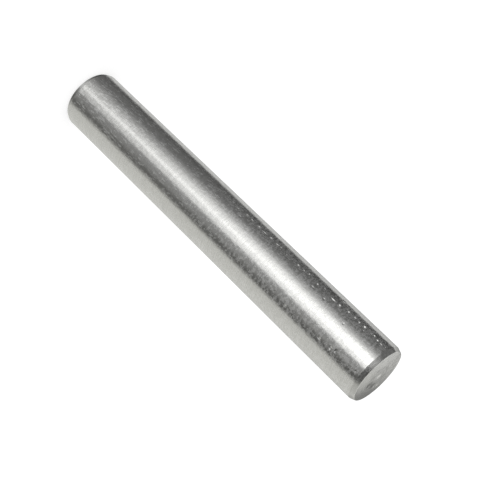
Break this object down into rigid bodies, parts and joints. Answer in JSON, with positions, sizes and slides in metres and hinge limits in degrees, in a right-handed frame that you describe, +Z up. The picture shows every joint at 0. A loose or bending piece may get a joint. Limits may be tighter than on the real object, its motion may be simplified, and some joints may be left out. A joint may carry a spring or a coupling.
{
  "type": "ball stop pin",
  "caption": "Plain round steel pin with a ground body and a short taper at each end, set across a ball's path to stop its travel.",
  "frame": {"origin": "middle of the lower end face, on which the pin stands", "axes": "+Z up along the pin's axis, towards the upper end face; the pin is round, so X and Y are free"},
  "size_m": [0.0096, 0.0096, 0.0635],
  "materials": {
    "ground_steel": "ground and lightly polished, with fine marks around the body and faced ends"
  },
  "bodies": {
    "root": {"stop_pin": "ground_steel"}
  },
  "joints": []
}
